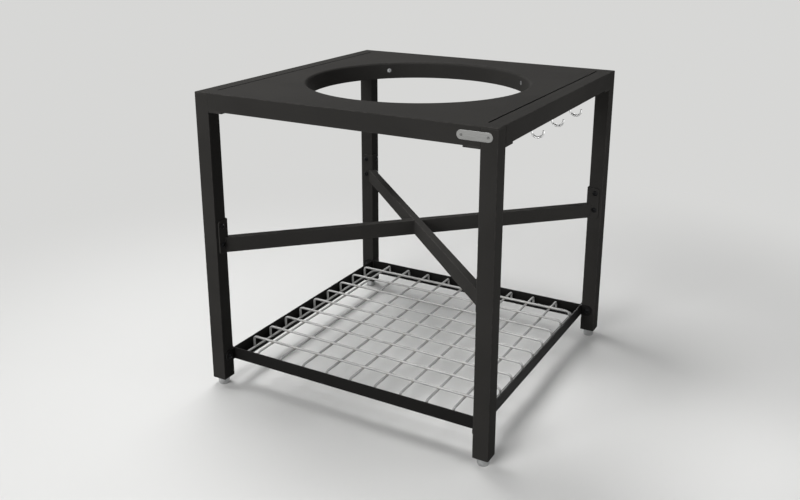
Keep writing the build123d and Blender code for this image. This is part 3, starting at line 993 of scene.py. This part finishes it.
class FRAME_OT_badge(bpy.types.Operator):
    """Brush the bare badge plate and finish its rivets"""

    bl_idname = "grillframe.badge"
    bl_label = "Badge plate"

    def execute(self, context):
        look = context.scene.frame_finishes
        dress(brushed_plate("brushed_badge", look.badge_colour), "badge_plate")
        # Painted shade: the rivets are a darker copy of the plate's colour, drawing the shade at
        # the rivets
        rivet_shade_colour = shade(look.badge_colour, 0.6)
        dress(bright_plate("rivet_zinc", rivet_shade_colour, SATIN), "badge_rivets")
        return {"FINISHED"}


class FRAME_OT_stage(bpy.types.Operator):
    """Set up the floor, the soft lights and the camera"""

    bl_idname = "grillframe.stage"
    bl_label = "Stage"

    def execute(self, context):
        scene = context.scene
        stage = scene.frame_stage
        scene.view_settings.view_transform = "Standard"
        self.floor(scene, stage)
        self.sky(scene, stage)
        for name, (place, width) in LAMPS.items():
            self.lamp(scene, f"{name}_light", place, width, getattr(stage, f"{name}_power"))
        self.camera(scene, stage)
        return {"FINISHED"}

    def seen_directly(self, nodes):
        """1 for what the camera sees, straight or by way of metal and glass."""
        path = nodes.node("ShaderNodeLightPath", output="Is Camera Ray")
        return path.most(path.other("Is Glossy Ray")).most(path.other("Is Transmission Ray"))

    def floor(self, scene, stage):
        """A pale floor that takes the shadow near the object and goes over into the backdrop."""
        bm = bmesh.new()
        bmesh.ops.create_circle(bm, cap_ends=True, segments=96, radius=FLOOR_RADIUS)
        mesh = bpy.data.meshes.new("floor")
        bm.to_mesh(mesh)
        bm.free()
        finish = Finish("pale_floor")
        x, y = finish.axes()[:2]
        far = finish.step((x**2 + y**2).root(), BACKDROP_START, BACKDROP_END)
        cloudy = shade(stage.floor_colour, 0.985)
        dimmed = shade(stage.floor_colour, stage.floor_bounce)
        pale = finish.blend(finish.noise(scale=3), cloudy, stage.floor_colour)
        seen = self.seen_directly(finish)
        colour = finish.blend(seen, dimmed, pale)
        mesh.materials.append(
            finish.surface({"Base Color": colour, "Roughness": 0.75, "Specular IOR Level": 0.2})
        )
        matt = Wire(finish, finish.shader.outputs["BSDF"])
        glow = finish.node("ShaderNodeEmission", None, {"Color": stage.floor_colour})
        share = far * seen
        both = finish.node("ShaderNodeMixShader", None, {0: share, 1: matt, 2: glow})
        finish.feed(finish.tree.nodes["Material Output"].inputs["Surface"], both)
        floor = bpy.data.objects.new("floor", mesh)
        scene.collection.objects.link(floor)

    def sky(self, scene, stage):
        """Even light from all sides, in front of a pale backdrop."""
        scene.world = bpy.data.worlds.new("studio")
        scene.world.use_nodes = True
        nodes = Nodes(scene.world.node_tree)
        ambient = {"Color": SKY_TINT, "Strength": stage.ambient}
        dim = nodes.node("ShaderNodeBackground", None, ambient)
        pale = nodes.node("ShaderNodeBackground", None, {"Color": stage.floor_colour})
        seen = self.seen_directly(nodes)
        both = nodes.node("ShaderNodeMixShader", None, {0: seen, 1: dim, 2: pale})
        nodes.feed(nodes.tree.nodes["World Output"].inputs["Surface"], both)

    def lamp(self, scene, name, place, size, power):
        """A round soft light that points at the middle of the object."""
        data = bpy.data.lights.new(name, "AREA")
        data.shape = "DISK"
        data.size = size
        data.energy = power
        lamp = bpy.data.objects.new(name, data)
        lamp.location = place
        lamp.visible_camera = False
        aim = (cad_low + cad_high) / 2 - Vector(place)
        lamp.rotation_euler = aim.to_track_quat("-Z", "Y").to_euler()
        scene.collection.objects.link(lamp)

    def camera(self, scene, stage):
        """A camera that looks at its target from the given direction."""
        data = bpy.data.cameras.new("camera")
        data.lens = stage.lens
        data.shift_y = stage.shift
        camera = bpy.data.objects.new("camera", data)
        flat = math.cos(stage.elevation)
        across = math.sin(stage.azimuth) * flat
        back = Vector((across, -math.cos(stage.azimuth) * flat, math.sin(stage.elevation)))
        camera.location = Vector(stage.target) + back * stage.distance
        camera.rotation_euler = (-back).to_track_quat("-Z", "Y").to_euler()
        scene.collection.objects.link(camera)
        scene.camera = camera


OPERATORS = (
    FRAME_OT_coated_steel,
    FRAME_OT_weld_beads,
    FRAME_OT_bolts,
    FRAME_OT_collar_screws,
    FRAME_OT_feet,
    FRAME_OT_wire_grid,
    FRAME_OT_hooks,
    FRAME_OT_badge,
    FRAME_OT_stage,
)


class FRAME_PT_sidebar(bpy.types.Panel):
    """Lists the steps that dress the frame"""

    bl_idname = "FRAME_PT_sidebar"
    bl_label = "Grill frame"
    bl_space_type = "VIEW_3D"
    bl_region_type = "UI"
    bl_category = "Grill frame"

    def draw(self, context):
        for operator in OPERATORS:
            self.layout.operator(operator.bl_idname)


GROUPS = {
    "frame_finishes": FrameFinishes,
    "frame_hardware": FrameHardware,
    "frame_stage": FrameStage,
}

CLASSES = (*GROUPS.values(), *OPERATORS, FRAME_PT_sidebar)


def register():
    for cls in CLASSES:
        bpy.utils.register_class(cls)
    for name, cls in GROUPS.items():
        setattr(bpy.types.Scene, name, PointerProperty(type=cls))


def unregister():
    for name in GROUPS:
        delattr(bpy.types.Scene, name)
    for cls in reversed(CLASSES):
        bpy.utils.unregister_class(cls)


def main():
    register()
    bpy.ops.grillframe.coated_steel()
    bpy.ops.grillframe.weld_beads()
    bpy.ops.grillframe.bolts()
    bpy.ops.grillframe.collar_screws()
    bpy.ops.grillframe.feet()
    bpy.ops.grillframe.wire_grid()
    bpy.ops.grillframe.hooks()
    bpy.ops.grillframe.badge()
    bpy.ops.grillframe.stage()


if __name__ == "__main__":
    main()
